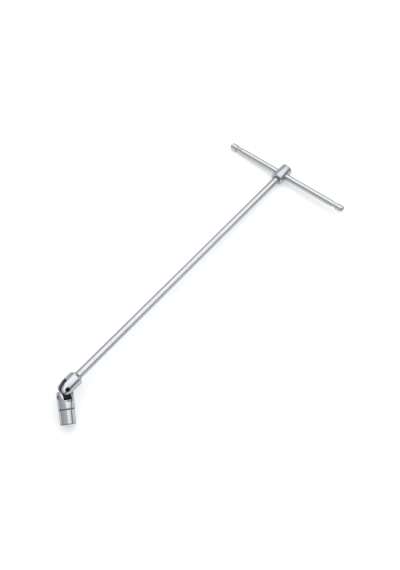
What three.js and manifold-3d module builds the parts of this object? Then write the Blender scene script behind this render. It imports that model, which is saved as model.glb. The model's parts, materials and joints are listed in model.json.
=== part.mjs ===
// T-handle socket wrench with a sliding bar and a double-pin universal joint, lying on a table.
// Millimetres, +Z up. +X runs along the shaft towards the socket, +Y along the sliding bar.

import * as THREE from "three";
import { mergeVertices } from "three/addons/utils/BufferGeometryUtils.js";
import Module from "manifold-3d";

// Sliding bar
const BAR_DIAMETER = 8;
const BAR_LENGTH = 173.5;
const BAR_SLID_BY = 5.5;
const KNOB_DIAMETER = 8.4;
const KNOB_LENGTH = 9.8;
const KNOB_CHAMFER = 1.8;
const NECK_DIAMETER = 6.4;
const NECK_LENGTH = 2.4;
const NECK_CONE_LENGTH = 6.6;

// Head that the bar slides through
const HEAD_DIAMETER = 16.15;
const HEAD_LENGTH = 23.3;
const HEAD_CHAMFER = 1.1;
const BAR_HOLE_CLEARANCE = 0.08;
const BAR_HOLE_COUNTERSINK = 0.5;
const HEAD_WEB = 1.1;

// Detent in the head: a sprung ball that bears on the bar, under a pressed plug
const BALL_DIAMETER = 3.5;
const BALL_CLEARANCE = 0.1;
const BALL_RUNNING_GAP = 0.03;
const DETENT_WIRE = 0.4;
const DETENT_CURLS = 3;
const PLUG_DIAMETER = 5;
const PLUG_THICKNESS = 1.4;
const PLUG_RECESS = 0.15;
const PLUG_DIMPLE_DIAMETER = 1.6;
const PLUG_DIMPLE_DEPTH = 0.4;

// Shaft
const SHAFT_DIAMETER = 8.76;
const SHAFT_CHAMFER = 0.5;
const PRESS_CLEARANCE = 0.02;

// Joint: two crossed pins in one link, each pin in a fork
const HEAD_TO_UPPER_PIN = 378.2;
const PIN_SPACING = 8.3;
const PIN_DIAMETER = 4.4;
const PIN_CHAMFER = 0.4;
const PIN_RECESS = 1.5;
const LINK_CLEARANCE = 0.05;
const LINK_THICKNESS = 7.4;
const LINK_END_RADIUS = 3.9;
const LINK_WIDTH = 7.4;
const SLOT_WIDTH = 9;
const WASHER_DIAMETER = 7.2;
const WASHER_THICKNESS = 0.3;
const WASHER_WAVE = 0.2;
const WASHER_WAVES = 3;

// Yoke at the end of the shaft
const YOKE_DIAMETER = 16.4;
const YOKE_NOSE_DIAMETER = 9.8;
const YOKE_NOSE_LENGTH = 0.4;
const YOKE_CONE_LENGTH = 3;
const YOKE_BODY_LENGTH = 9.4;
const YOKE_SLOT_DEPTH = 6.4;
const YOKE_EAR_RADIUS = 5.6;
const YOKE_BORE_WEB = 5.6;

// Socket
const FORK_DIAMETER = 17.3;
const FORK_SLOT_DEPTH = 5;
const FORK_EAR_RADIUS = 6;
const FORK_LENGTH = 12.6;
const SOCKET_DIAMETER = 16.2;
const SOCKET_LENGTH = 28.2;
const SOCKET_CHAMFER = 0.8;
const STEP_CHAMFER = 0.35;
const HEX_ACROSS_FLATS = 11.1;
const HEX_DEPTH = 13;
const BORE_DIAMETER = 10.4;
const BORE_DEPTH = 15.5;
const MOUTH_LEAD_IN = 0.9;

// Ears of both forks; the angle is in degrees
const HOLE_COUNTERSINK = 0.45;
const EAR_BEVEL_ANGLE = 10;
const FLANK_START_SHARE = 0.92;
const OVERRUN = 2;

// How the joint is turned and bent on the table, in degrees
const UPPER_PIN_ANGLE = 42.5;
const UPPER_BEND_ANGLE = 51.5;
const LOWER_BEND_ANGLE = -12.5;

// Facets
const AROUND = 72;
const AROUND_SMALL = 36;
const AROUND_BALL = 20;
const AROUND_WIRE = 5;
const STEPS_PER_CURL = 12;
const ARC_STEPS = 12;
const HEX_SIDES = 6;

// Sizes that follow from the ones above
const barRadius = BAR_DIAMETER / 2;
const barHoleRadius = KNOB_DIAMETER / 2 - BAR_HOLE_CLEARANCE;
const headRadius = HEAD_DIAMETER / 2;
const headEnd = HEAD_LENGTH / 2;
const shaftRadius = SHAFT_DIAMETER / 2;
const shaftStart = barHoleRadius + HEAD_WEB;
const ballRadius = BALL_DIAMETER / 2;
const ballCentre = barRadius + BALL_RUNNING_GAP + ballRadius;
const detentBoreRadius = ballRadius + BALL_CLEARANCE;
const plugInner = headEnd - PLUG_RECESS - PLUG_THICKNESS;
const yokeSlotFloor = HEAD_TO_UPPER_PIN - YOKE_SLOT_DEPTH;
const shaftEnd = yokeSlotFloor - YOKE_BORE_WEB;
const slotHalf = SLOT_WIDTH / 2;
const pinRadius = PIN_DIAMETER / 2;
const pinHoleRadius = pinRadius + PRESS_CLEARANCE;
const linkHoleRadius = pinRadius + LINK_CLEARANCE;
const washerMiddle = (slotHalf + LINK_THICKNESS / 2) / 2;
const degrees = Math.PI / 180;

const wasm = await Module();
wasm.setup();

const STEEL = { roughness: 0.3, metalness: 1 };
const FINISHES = {
  satinChrome: { ...STEEL, color: 0xd3d8de },
  brightBar: { ...STEEL, color: 0xdfe2e5 },
  blackOxide: { color: 0x1b1c20, roughness: 0.55, metalness: 0.7 },
  springSteel: { color: 0x8f9296, roughness: 0.4, metalness: 1 },
};

// A closed geometry as a solid that can be joined and cut.
function solidFrom(geometry) {
  const bare = geometry.clone();
  bare.deleteAttribute("normal");
  bare.deleteAttribute("uv");
  const merged = mergeVertices(bare);
  return new wasm.Manifold(
    new wasm.Mesh({
      numProp: 3,
      vertProperties: new Float32Array(merged.attributes.position.array),
      triVerts: new Uint32Array(merged.index.array),
    }),
  );
}

// A solid as a geometry for a mesh.
function geometryFrom(solid) {
  const mesh = solid.getMesh();
  const geometry = new THREE.BufferGeometry();
  geometry.setAttribute("position", new THREE.BufferAttribute(mesh.vertProperties, 3));
  geometry.setIndex(new THREE.BufferAttribute(mesh.triVerts, 1));
  return geometry;
}

// A turned piece along X, from pairs of place and radius that run towards +X.
function turned(pairs, around = AROUND) {
  const outline = [[pairs[0][0], 0], ...pairs, [pairs[pairs.length - 1][0], 0]];
  const points = outline.map(([place, radius]) => new THREE.Vector2(radius, place));
  return new THREE.LatheGeometry(points, around).rotateZ(-Math.PI / 2);
}

// A straight round piece or cutter along X.
function rod(start, end, radius, around = AROUND) {
  return turned([[start, radius], [end, radius]], around);
}

// A round piece whose two edges are chamfered.
function chamferedRod(start, end, radius, chamfer, around = AROUND) {
  const pairs = [
    [start, radius - chamfer],
    [start + chamfer, radius],
    [end - chamfer, radius],
    [end, radius - chamfer],
  ];
  return turned(pairs, around);
}

// The part of a cutter that chamfers the mouth of a hole, widening towards +X.
function countersink(mouth, radius, depth, around = AROUND_SMALL) {
  const pairs = [
    [mouth - depth, radius],
    [mouth + OVERRUN, radius + depth + OVERRUN],
  ];
  return turned(pairs, around);
}

const turnedToY = (geometry) => geometry.rotateZ(Math.PI / 2);
const turnedToZ = (geometry) => geometry.rotateY(-Math.PI / 2);

// Points of an arc about the origin, from one angle to another.
function arcPoints(radius, from, to, steps = ARC_STEPS) {
  return Array.from({ length: steps + 1 }, (_, i) => {
    const angle = from + ((to - from) * i) / steps;
    return new THREE.Vector2(radius * Math.cos(angle), radius * Math.sin(angle));
  });
}

// A flat outline in X and Y as a plate of a given thickness, centred on Z.
function plate(points, thickness) {
  const shape = new THREE.Shape(points);
  const options = { depth: thickness, bevelEnabled: false };
  return new THREE.ExtrudeGeometry(shape, options).translate(0, 0, -thickness / 2);
}

// Sliding bar along Y: a necked knob at each end stops it in the head.
function slidingBar() {
  const half = BAR_LENGTH / 2;
  const knob = KNOB_DIAMETER / 2;
  const neck = NECK_DIAMETER / 2;
  const end = [
    [half, knob - KNOB_CHAMFER],
    [half - KNOB_CHAMFER, knob],
    [half - KNOB_LENGTH, knob],
    [half - KNOB_LENGTH, neck],
    [half - KNOB_LENGTH - NECK_LENGTH, neck],
    [half - KNOB_LENGTH - NECK_LENGTH - NECK_CONE_LENGTH, barRadius],
  ];
  const otherEnd = end.map(([place, radius]) => [-place, radius]);
  return solidFrom(turnedToY(turned([...otherEnd, ...end.reverse()])));
}

// Head: a chamfered cylinder with the bar hole across it, the shaft's socket and the detent bore.
function handleHead() {
  const body = solidFrom(chamferedRod(-headEnd, headEnd, headRadius, HEAD_CHAMFER));
  const reach = headRadius + OVERRUN;
  const barHole = solidFrom(turnedToY(rod(-reach, reach, barHoleRadius)));
  const mouth = turnedToY(countersink(headRadius, barHoleRadius, BAR_HOLE_COUNTERSINK, AROUND));
  const otherMouth = mouth.clone().rotateZ(Math.PI);
  const shaftSocket = solidFrom(rod(shaftStart, headEnd + OVERRUN, shaftRadius + PRESS_CLEARANCE));
  const detentBore = solidFrom(rod(-headEnd - OVERRUN, 0, detentBoreRadius, AROUND_SMALL));
  const plugRadius = PLUG_DIAMETER / 2 + PRESS_CLEARANCE;
  const plugSeat = solidFrom(rod(-headEnd - OVERRUN, -plugInner, plugRadius, AROUND_SMALL));
  const cuts = [barHole, solidFrom(mouth), solidFrom(otherMouth), shaftSocket, detentBore, plugSeat];
  return cuts.reduce((solid, cut) => solid.subtract(cut), body);
}

// Plug that closes the detent bore, with a punched dimple in its outer face.
function detentPlug() {
  const outer = -plugInner - PLUG_THICKNESS;
  const radius = PLUG_DIAMETER / 2;
  const dimple = PLUG_DIMPLE_DIAMETER / 2;
  const outline = [
    [outer + PLUG_DIMPLE_DEPTH, 0],
    [outer, dimple],
    [outer, radius],
    [-plugInner - PRESS_CLEARANCE, radius],
  ];
  return solidFrom(turned(outline, AROUND_SMALL));
}

// A closed tube along a helix about X, with flat ends.
function helixTube(start, end, radius, wire, curls) {
  const steps = curls * STEPS_PER_CURL;
  const pitch = (end - start) / curls;
  const positions = [];
  const indices = [];
  for (let i = 0; i <= steps; i++) {
    const angle = (2 * Math.PI * i) / STEPS_PER_CURL;
    const outward = new THREE.Vector3(0, Math.cos(angle), Math.sin(angle));
    const centre = outward.clone().multiplyScalar(radius).setX(start + (pitch * angle) / (2 * Math.PI));
    for (let j = 0; j < AROUND_WIRE; j++) {
      const turn = (2 * Math.PI * j) / AROUND_WIRE;
      const point = centre.clone().addScaledVector(outward, wire * Math.cos(turn));
      point.x += wire * Math.sin(turn);
      positions.push(point.x, point.y, point.z);
    }
  }
  const at = (i, j) => i * AROUND_WIRE + (j % AROUND_WIRE);
  for (let i = 0; i < steps; i++) {
    for (let j = 0; j < AROUND_WIRE; j++) {
      indices.push(at(i, j), at(i + 1, j), at(i + 1, j + 1));
      indices.push(at(i, j), at(i + 1, j + 1), at(i, j + 1));
    }
  }
  for (let j = 1; j < AROUND_WIRE - 1; j++) {
    indices.push(at(0, 0), at(0, j), at(0, j + 1));
    indices.push(at(steps, 0), at(steps, j + 1), at(steps, j));
  }
  const geometry = new THREE.BufferGeometry();
  geometry.setAttribute("position", new THREE.Float32BufferAttribute(positions, 3));
  geometry.setIndex(indices);
  console.log("detent spring: gap between curls", (pitch - 2 * wire).toFixed(2), "mm");
  return solidFrom(geometry);
}

// Detent spring between the ball's crown and the plug.
function detentSpring() {
  const wire = DETENT_WIRE / 2;
  const radius = ballRadius - wire;
  const seatOnBall = ballCentre + Math.sqrt(ballRadius ** 2 - (radius - wire) ** 2);
  const start = -plugInner + wire + BALL_RUNNING_GAP;
  const end = -seatOnBall - wire - BALL_RUNNING_GAP;
  return helixTube(start, end, radius, wire, DETENT_CURLS);
}

// What the ears of a fork keep: full width at the slot's floor, then leaning flanks and a round tip.
// The outline shrinks away from the slot on both sides, which bevels the ears all the way round.
function earOutline(earRadius, bodyRadius, slotDepth, back) {
  const floorCorner = new THREE.Vector2(-slotDepth, bodyRadius * FLANK_START_SHARE);
  const tangentAt = floorCorner.angle() - Math.acos(earRadius / floorCorner.length());
  const wide = bodyRadius + OVERRUN;
  const flankStart = -slotDepth - (wide - floorCorner.y) * Math.tan(tangentAt);
  const tip = arcPoints(earRadius, -tangentAt, tangentAt);
  const left = [new THREE.Vector2(-back, -wide), new THREE.Vector2(flankStart, -wide)];
  const right = [new THREE.Vector2(flankStart, wide), new THREE.Vector2(-back, wide)];
  const bevelDepth = wide - slotHalf;
  const bevelSize = bevelDepth * Math.tan(EAR_BEVEL_ANGLE * degrees);
  const options = {
    depth: SLOT_WIDTH,
    bevelThickness: bevelDepth,
    bevelSize,
    bevelOffset: -bevelSize,
    bevelSegments: 1,
  };
  const shape = new THREE.Shape([...left, ...tip, ...right]);
  return new THREE.ExtrudeGeometry(shape, options).translate(0, 0, -slotHalf);
}

// A fork whose ears point to +X, with its pin along Z through the origin.
function forked(body, bodyRadius, earRadius, slotDepth, back) {
  const length = slotDepth + earRadius + OVERRUN;
  const slot = new THREE.BoxGeometry(length, 2 * (bodyRadius + OVERRUN), SLOT_WIDTH);
  slot.translate(length / 2 - slotDepth, 0, 0);
  const reach = bodyRadius + OVERRUN;
  const hole = turnedToZ(rod(-reach, reach, pinHoleRadius, AROUND_SMALL));
  const mouth = turnedToZ(countersink(bodyRadius, pinHoleRadius, HOLE_COUNTERSINK));
  const otherMouth = mouth.clone().rotateX(Math.PI);
  const cuts = [slot, hole, mouth, otherMouth].map(solidFrom);
  const shaped = body.intersect(solidFrom(earOutline(earRadius, bodyRadius, slotDepth, back)));
  return cuts.reduce((solid, cut) => solid.subtract(cut), shaped);
}

// Yoke: a coned body pressed on the shaft, with the upper pin's fork. Its origin is on the pin.
function yoke() {
  const radius = YOKE_DIAMETER / 2;
  const nose = YOKE_NOSE_DIAMETER / 2;
  const back = YOKE_SLOT_DEPTH + YOKE_BODY_LENGTH;
  const noseStart = -back - YOKE_CONE_LENGTH;
  const pairs = [
    [noseStart, nose - YOKE_NOSE_LENGTH],
    [noseStart + YOKE_NOSE_LENGTH, nose],
    [-back, radius],
    [YOKE_EAR_RADIUS + OVERRUN, radius],
  ];
  const body = solidFrom(turned(pairs));
  const fork = forked(body, radius, YOKE_EAR_RADIUS, YOKE_SLOT_DEPTH, OVERRUN - noseStart);
  const boreEnd = shaftEnd - HEAD_TO_UPPER_PIN;
  return fork.subtract(solidFrom(rod(noseStart - OVERRUN, boreEnd, shaftRadius + PRESS_CLEARANCE)));
}

// Hexagonal recess from the mouth at -X, as a prism whose corners reach the across-flats hexagon.
function hexPrism(start, end) {
  const corner = HEX_ACROSS_FLATS / 2 / Math.cos(Math.PI / HEX_SIDES);
  return turned([[start, corner], [end, corner]], HEX_SIDES);
}

// Socket: the lower pin's fork and a hexagonal socket in one piece. Its origin is on the pin.
function socket() {
  const forkRadius = FORK_DIAMETER / 2;
  const radius = SOCKET_DIAMETER / 2;
  const pairs = [
    [-SOCKET_LENGTH, radius - SOCKET_CHAMFER],
    [-SOCKET_LENGTH + SOCKET_CHAMFER, radius],
    [-FORK_LENGTH, radius],
    [-FORK_LENGTH + STEP_CHAMFER, forkRadius],
    [FORK_EAR_RADIUS + OVERRUN, forkRadius],
  ];
  const body = solidFrom(turned(pairs));
  const fork = forked(body, forkRadius, FORK_EAR_RADIUS, FORK_SLOT_DEPTH, SOCKET_LENGTH + OVERRUN);
  const mouthRadius = HEX_ACROSS_FLATS / 2 + MOUTH_LEAD_IN;
  const mouthPairs = [
    [-SOCKET_LENGTH - OVERRUN, mouthRadius + OVERRUN],
    [-SOCKET_LENGTH + mouthRadius, 0],
  ];
  const cuts = [
    hexPrism(-SOCKET_LENGTH - OVERRUN, -SOCKET_LENGTH + HEX_DEPTH),
    rod(-SOCKET_LENGTH - OVERRUN, -SOCKET_LENGTH + BORE_DEPTH, BORE_DIAMETER / 2, AROUND_SMALL),
    turned(mouthPairs),
  ];
  return cuts.reduce((solid, cut) => solid.subtract(solidFrom(cut)), fork);
}

// Half of the link: a plate with a round end about one pin, from that end to the middle.
function linkHalf() {
  const halfWidth = LINK_WIDTH / 2;
  const shoulder = Math.asin(halfWidth / LINK_END_RADIUS);
  const tip = arcPoints(LINK_END_RADIUS, Math.PI - shoulder, Math.PI + shoulder);
  const middle = PIN_SPACING / 2;
  const corners = [-halfWidth, halfWidth].map((y) => new THREE.Vector2(middle, y));
  return plate([...corners, ...tip], LINK_THICKNESS);
}

// Link: two halves at right angles, each bored for its pin. Its origin is on the upper pin.
function centreLink() {
  const upper = solidFrom(linkHalf());
  const turnedHalf = linkHalf().rotateX(Math.PI / 2).rotateZ(Math.PI);
  const lower = solidFrom(turnedHalf.translate(PIN_SPACING, 0, 0));
  const reach = LINK_END_RADIUS + OVERRUN;
  const upperHole = turnedToZ(rod(-reach, reach, linkHoleRadius, AROUND_SMALL));
  const lowerHole = turnedToY(rod(-reach, reach, linkHoleRadius, AROUND_SMALL));
  lowerHole.translate(PIN_SPACING, 0, 0);
  return upper.add(lower).subtract(solidFrom(upperHole)).subtract(solidFrom(lowerHole));
}

// A pin along Z, shorter than the fork is wide by a recess at each end.
function jointPin(forkDiameter) {
  const half = forkDiameter / 2 - PIN_RECESS;
  return solidFrom(turnedToZ(chamferedRod(-half, half, pinRadius, PIN_CHAMFER, AROUND_SMALL)));
}

// A waved spring washer about Z: it bears on the link and the ear in turn and keeps the joint stiff.
function waveWasher() {
  const inner = linkHoleRadius;
  const outer = WASHER_DIAMETER / 2;
  const half = WASHER_THICKNESS / 2;
  const corners = [[inner, -half], [outer, -half], [outer, half], [inner, half]];
  const positions = [];
  const indices = [];
  for (let i = 0; i < AROUND_SMALL; i++) {
    const angle = (2 * Math.PI * i) / AROUND_SMALL;
    const lift = WASHER_WAVE * Math.cos(WASHER_WAVES * angle);
    for (const [radius, height] of corners) {
      positions.push(radius * Math.cos(angle), radius * Math.sin(angle), height + lift);
    }
  }
  const sides = corners.length;
  const at = (i, j) => (i % AROUND_SMALL) * sides + (j % sides);
  for (let i = 0; i < AROUND_SMALL; i++) {
    for (let j = 0; j < sides; j++) {
      indices.push(at(i, j), at(i + 1, j + 1), at(i, j + 1));
      indices.push(at(i, j), at(i + 1, j), at(i + 1, j + 1));
    }
  }
  const geometry = new THREE.BufferGeometry();
  geometry.setAttribute("position", new THREE.Float32BufferAttribute(positions, 3));
  geometry.setIndex(indices);
  return solidFrom(geometry);
}

// A named mesh in a group.
function place(parent, name, solid, finish) {
  const mesh = new THREE.Mesh(geometryFrom(solid), new THREE.MeshStandardMaterial(FINISHES[finish]));
  mesh.name = name;
  parent.add(mesh);
  return mesh;
}

// A group at a place and a turn inside another.
function frameIn(parent, name, position, rotation) {
  const frame = new THREE.Group();
  frame.name = name;
  frame.position.set(...position);
  frame.rotation.set(...rotation);
  parent.add(frame);
  return frame;
}

// Assembly. Each frame of the joint is carried by the one before it.
const wrench = new THREE.Group();
const barFrame = frameIn(wrench, "bar_frame", [0, BAR_SLID_BY, 0], [0, 0, 0]);
const turnToPin = UPPER_PIN_ANGLE * degrees - Math.PI / 2;
const yokeFrame = frameIn(wrench, "yoke_frame", [HEAD_TO_UPPER_PIN, 0, 0], [turnToPin, 0, 0]);
const upperBend = [0, 0, UPPER_BEND_ANGLE * degrees];
const linkFrame = frameIn(yokeFrame, "link_frame", [0, 0, 0], upperBend);
const lowerBend = [0, LOWER_BEND_ANGLE * degrees, 0];
const socketFrame = frameIn(linkFrame, "socket_frame", [PIN_SPACING, 0, 0], lowerBend);
const forkFrame = frameIn(socketFrame, "fork_frame", [0, 0, 0], [-Math.PI / 2, 0, Math.PI]);

const shaft = chamferedRod(shaftStart, shaftEnd, shaftRadius, SHAFT_CHAMFER);
place(wrench, "shaft", solidFrom(shaft), "satinChrome");
place(wrench, "handle_head", handleHead(), "satinChrome");
place(barFrame, "sliding_bar", slidingBar(), "brightBar");
const ball = new THREE.SphereGeometry(ballRadius, AROUND_BALL, AROUND_BALL / 2);
place(wrench, "detent_ball", solidFrom(ball.translate(-ballCentre, 0, 0)), "springSteel");
place(wrench, "detent_spring", detentSpring(), "springSteel");
place(wrench, "detent_plug", detentPlug(), "satinChrome");
place(yokeFrame, "yoke", yoke(), "satinChrome");
place(yokeFrame, "upper_pin", jointPin(YOKE_DIAMETER), "blackOxide");
place(linkFrame, "centre_link", centreLink(), "blackOxide");
place(forkFrame, "socket", socket(), "satinChrome");
place(forkFrame, "lower_pin", jointPin(FORK_DIAMETER), "blackOxide");
for (const [frame, level] of [[yokeFrame, "upper"], [forkFrame, "lower"]]) {
  for (const [side, sign] of [["front", 1], ["back", -1]]) {
    const washer = place(frame, level + "_washer_" + side, waveWasher(), "springSteel");
    washer.position.z = sign * washerMiddle;
  }
}

// The lowest point of a circle, for a given way up.
function lowestOf({ centre, axis, radius }, up) {
  const along = axis.clone().multiplyScalar(up.dot(axis));
  const down = along.sub(up).normalize();
  return centre.clone().addScaledVector(down, radius);
}

// The wrench lies on the head's outer edge, the bar's nearer end and the socket's rim. The way up is
// the normal of the plane through these, found by going round a few times.
function wayUp() {
  const socketAxis = new THREE.Vector3(1, 0, 0).transformDirection(socketFrame.matrixWorld);
  const pin = new THREE.Vector3().setFromMatrixPosition(socketFrame.matrixWorld);
  const rim = pin.addScaledVector(socketAxis, SOCKET_LENGTH - SOCKET_CHAMFER);
  const alongX = new THREE.Vector3(1, 0, 0);
  const alongY = new THREE.Vector3(0, 1, 0);
  const knobRim = new THREE.Vector3(0, BAR_SLID_BY - BAR_LENGTH / 2 + KNOB_CHAMFER, 0);
  const headRim = new THREE.Vector3(HEAD_CHAMFER - headEnd, 0, 0);
  const circles = [
    { centre: headRim, axis: alongX, radius: headRadius },
    { centre: rim, axis: socketAxis, radius: SOCKET_DIAMETER / 2 },
    { centre: knobRim, axis: alongY, radius: KNOB_DIAMETER / 2 },
  ];
  const rounds = 30;
  const up = new THREE.Vector3(0, 0, 1);
  for (let i = 0; i < rounds; i++) {
    const [head, socketRim, knob] = circles.map((circle) => lowestOf(circle, up));
    up.crossVectors(socketRim.sub(head), head.clone().sub(knob)).normalize();
    if (up.z < 0) up.negate();
  }
  return up;
}

wrench.updateMatrixWorld(true);
const up = wayUp();
const forward = new THREE.Vector3(1, 0, 0).addScaledVector(up, -up.x).normalize();
const sideways = new THREE.Vector3().crossVectors(up, forward);
const basis = new THREE.Matrix4().makeBasis(forward, sideways, up);
wrench.quaternion.setFromRotationMatrix(basis).invert();
wrench.updateMatrixWorld(true);

// The origin is the middle of the footprint, on the table.
const box = new THREE.Box3().setFromObject(wrench, true);
wrench.position.set(-(box.min.x + box.max.x) / 2, -(box.min.y + box.max.y) / 2, -box.min.z);

const group = new THREE.Group();
group.add(wrench);

export default group;
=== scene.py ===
"""A T-handle socket wrench with a sliding bar and a two-pin universal joint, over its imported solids."""

import json
import logging
import math
from collections.abc import Callable
from dataclasses import dataclass
from enum import Enum

import bmesh
import bpy
import numpy as np
from mathutils import Matrix


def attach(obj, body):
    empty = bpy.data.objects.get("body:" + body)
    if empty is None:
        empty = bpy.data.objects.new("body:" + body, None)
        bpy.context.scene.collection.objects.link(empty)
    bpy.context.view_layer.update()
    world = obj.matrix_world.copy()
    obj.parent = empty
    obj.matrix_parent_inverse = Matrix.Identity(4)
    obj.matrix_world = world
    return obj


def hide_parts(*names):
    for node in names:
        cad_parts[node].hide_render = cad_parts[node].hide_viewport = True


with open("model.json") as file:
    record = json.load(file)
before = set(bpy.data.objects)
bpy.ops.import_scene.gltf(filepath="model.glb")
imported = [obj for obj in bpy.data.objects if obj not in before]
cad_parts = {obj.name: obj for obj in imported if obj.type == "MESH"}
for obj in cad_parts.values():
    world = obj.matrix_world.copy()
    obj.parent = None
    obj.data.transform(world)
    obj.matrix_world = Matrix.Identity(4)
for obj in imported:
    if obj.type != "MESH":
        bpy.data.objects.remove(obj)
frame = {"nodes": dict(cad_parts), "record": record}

LOG = logging.getLogger("wrench")
PHOTO_SIZE = (400, 570)
MM = 0.001
DEGREE = math.pi / 180
TINY = 1e-12

# Lengths of the making, in millimetres, and its angles, in degrees
OVERRUN = 2.0  # how far a cutter reaches past a piece
PRESS_GAP = 0.02  # between a pressed piece and its bore
SAME_POINT = 1e-4  # points of a profile nearer than this are one
MERGE_DISTANCE = 0.02  # points of a cut solid nearer than this are one
LEAD = 0.06  # the longest lead before and after a fillet
LEAD_SHARE = 0.2  # of a fillet's room, at most, for that lead
ROOM_SHARE = 0.42  # of an edge, at most, for the fillet at its end
FLAT_ANGLE = 0.4  # faces that meet flatter than this become one
SMOOTH_ANGLE = 38.0  # edges sharper than this stay sharp
EDGE_GAIN = 14  # takes a rounded edge's measure near 1

Point = tuple[float, float, float]
Corner = tuple[float, float, float]
Colour = tuple[float, float, float]


class Axis(Enum):
    """The axis of a piece's own frame that a turned shape stands on."""

    X = (0, 1, 2)
    Y = (2, 0, 1)
    Z = (1, 2, 0)


class Cut(Enum):
    """What one solid does to another."""

    KEEP_COMMON = "INTERSECT"
    TAKE_AWAY = "DIFFERENCE"
    ADD = "UNION"


class Mark(Enum):
    """Attributes that a piece's mesh carries for its finish."""

    TURNED = "turned"
    EDGE = "edge"
    RECESS = "recess"


# Frames


@dataclass(frozen=True)
class PieceFrame:
    """A frame of the tool in the row: an origin and three unit axes as columns, in metres."""

    origin: np.ndarray
    axes: np.ndarray

    def to_row(self, points: np.ndarray) -> np.ndarray:
        """Carries points in the piece's own millimetres to the row's metres."""
        return self.origin + (points * MM) @ self.axes.T


def unit(vector: np.ndarray) -> np.ndarray:
    """Gives a vector of length one in the same direction."""
    return vector / np.linalg.norm(vector)


def axes_on(along: np.ndarray, pin: np.ndarray) -> np.ndarray:
    """Gives the axes of a piece on a pin: X along the piece and Z along the pin."""
    return np.column_stack([along, np.cross(pin, along), pin])


@dataclass(frozen=True)
class ToolFrames:
    """The frames of the tool's bodies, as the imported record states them."""

    wrench: PieceFrame
    bar: PieceFrame
    yoke: PieceFrame
    link: PieceFrame
    fork: PieceFrame

    @classmethod
    def from_record(cls, record: dict, bar_slid_by: float) -> "ToolFrames":
        """Works the frames out from the joints and the mounts.

        Args:
            record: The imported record.
            bar_slid_by: How far the bar's middle lies from the head's, in millimetres.

        Returns:
            The five frames.
        """
        joints, mounts = record["behaviour"]["joints"], record["mounts"]
        places = {joint["name"]: np.array(joint["pos_m"]) for joint in joints}
        axes = {part["name"]: unit(np.array(part["axis"])) for part in (*joints, *mounts)}
        bar_middle, upper_pin, lower_pin = (places[n] for n in ("bar_slide", "upper_bend", "lower_bend"))
        along_bar, upper, lower = (axes[n] for n in ("bar_slide", "upper_bend", "lower_bend"))
        along_shaft, to_shaft = -axes["head_end"], -axes["socket_mouth"]
        wrench_axes = np.column_stack([along_shaft, along_bar, np.cross(along_shaft, along_bar)])
        return cls(
            wrench=PieceFrame(bar_middle - bar_slid_by * MM * along_bar, wrench_axes),
            bar=PieceFrame(bar_middle, wrench_axes),
            yoke=PieceFrame(upper_pin, axes_on(along_shaft, upper)),
            link=PieceFrame(upper_pin, axes_on(unit(lower_pin - upper_pin), upper)),
            fork=PieceFrame(lower_pin, axes_on(to_shaft, lower)),
        )


# Surfaces worked out with numpy


@dataclass(frozen=True)
class Seam:
    """A line around a piece that is darkened with painted shade and some oil and dust, in millimetres
    along its turning axis.
    """

    place: float
    width: float
    level: float = 1.0

    def strength(self, along: np.ndarray) -> np.ndarray:
        """Gives level exp(-((x - place)/width)^2) at each place x."""
        return self.level * np.exp(-(((along - self.place) / self.width) ** 2))

    def rings(self) -> np.ndarray:
        """Gives the places of nine rings, over two widths on each side, that carry the seam."""
        return self.place + self.width * np.linspace(-2, 2, 9)


@dataclass(frozen=True)
class Stock:
    """The round stock that a piece was turned from, and its seams.

    The envelope is the radius of the stock's outside, or 0 where only the seams get painted shade and
    dust.
    """

    envelope: float = 0.0
    axis: Axis = Axis.X
    seams: tuple[Seam, ...] = ()


@dataclass
class Surface:
    """A closed surface: points in millimetres and faces as lists of point numbers."""

    points: np.ndarray
    faces: list[list[int]]

    def moved(self, offset: Point) -> "Surface":
        """Gives the same surface at another place."""
        return Surface(self.points + np.array(offset, float), self.faces)

    def turned_by(self, matrix: list[list[int]]) -> "Surface":
        """Gives the same surface turned by a rotation matrix."""
        return Surface(self.points @ np.array(matrix, float).T, self.faces)


def full_turn(count: int) -> np.ndarray:
    """Gives evenly spaced angles once round."""
    return np.linspace(0, 2 * math.pi, count, endpoint=False)


def on_circle(radius: float, angle: np.ndarray) -> np.ndarray:
    """Gives the points at some angles of a circle about the origin."""
    return radius * np.stack([np.cos(angle), np.sin(angle)], -1)


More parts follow.
